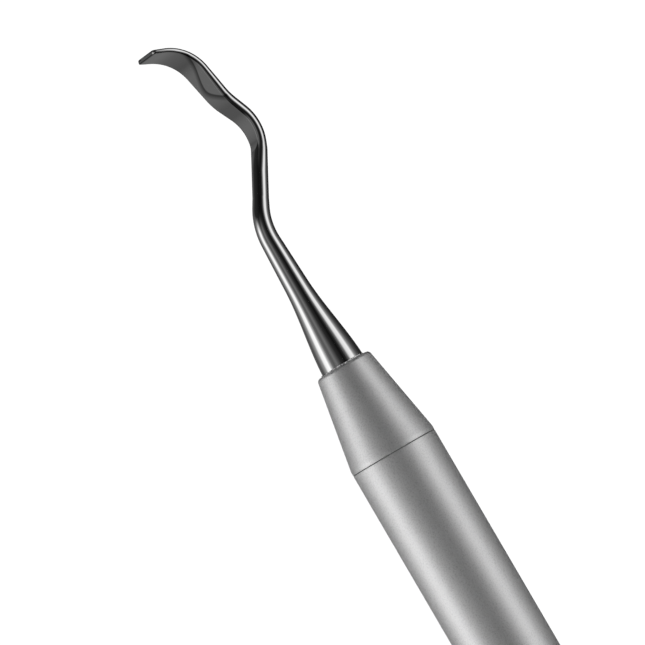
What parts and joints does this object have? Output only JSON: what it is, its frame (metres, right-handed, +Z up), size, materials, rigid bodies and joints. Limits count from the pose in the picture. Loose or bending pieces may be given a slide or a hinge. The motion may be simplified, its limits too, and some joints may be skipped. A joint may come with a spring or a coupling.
{
  "type": "dental elevator",
  "caption": "Double-ended thin dental elevator: hollow satin steel handle, conical ferrules, slender polished shanks and flat, square-ended blades bent to an S with a hooked end.",
  "frame": {"origin": "centre of the handle tube, on its axis, halfway along the tool", "axes": "+X along the handle towards the rear working end, so the front working end points to -X; all bends lie in the horizontal XY plane, with the front knee towards +Y and the rear knee towards -Y; +Z up as the tool lies on its handle"},
  "size_m": [0.1798, 0.0112, 0.01],
  "materials": {
    "satin_steel": "bead-blasted satin stainless steel with a faint fine mottle",
    "silver_braze": "bright silver braze, slightly uneven",
    "polished_steel": "bright polished stainless steel with fine polishing grain"
  },
  "bodies": {
    "root": {"handle_tube": "satin_steel", "front_ferrule": "satin_steel", "rear_ferrule": "satin_steel", "front_braze_ring": "silver_braze", "rear_braze_ring": "silver_braze", "front_working_end": "polished_steel", "rear_working_end": "polished_steel"}
  },
  "joints": []
}
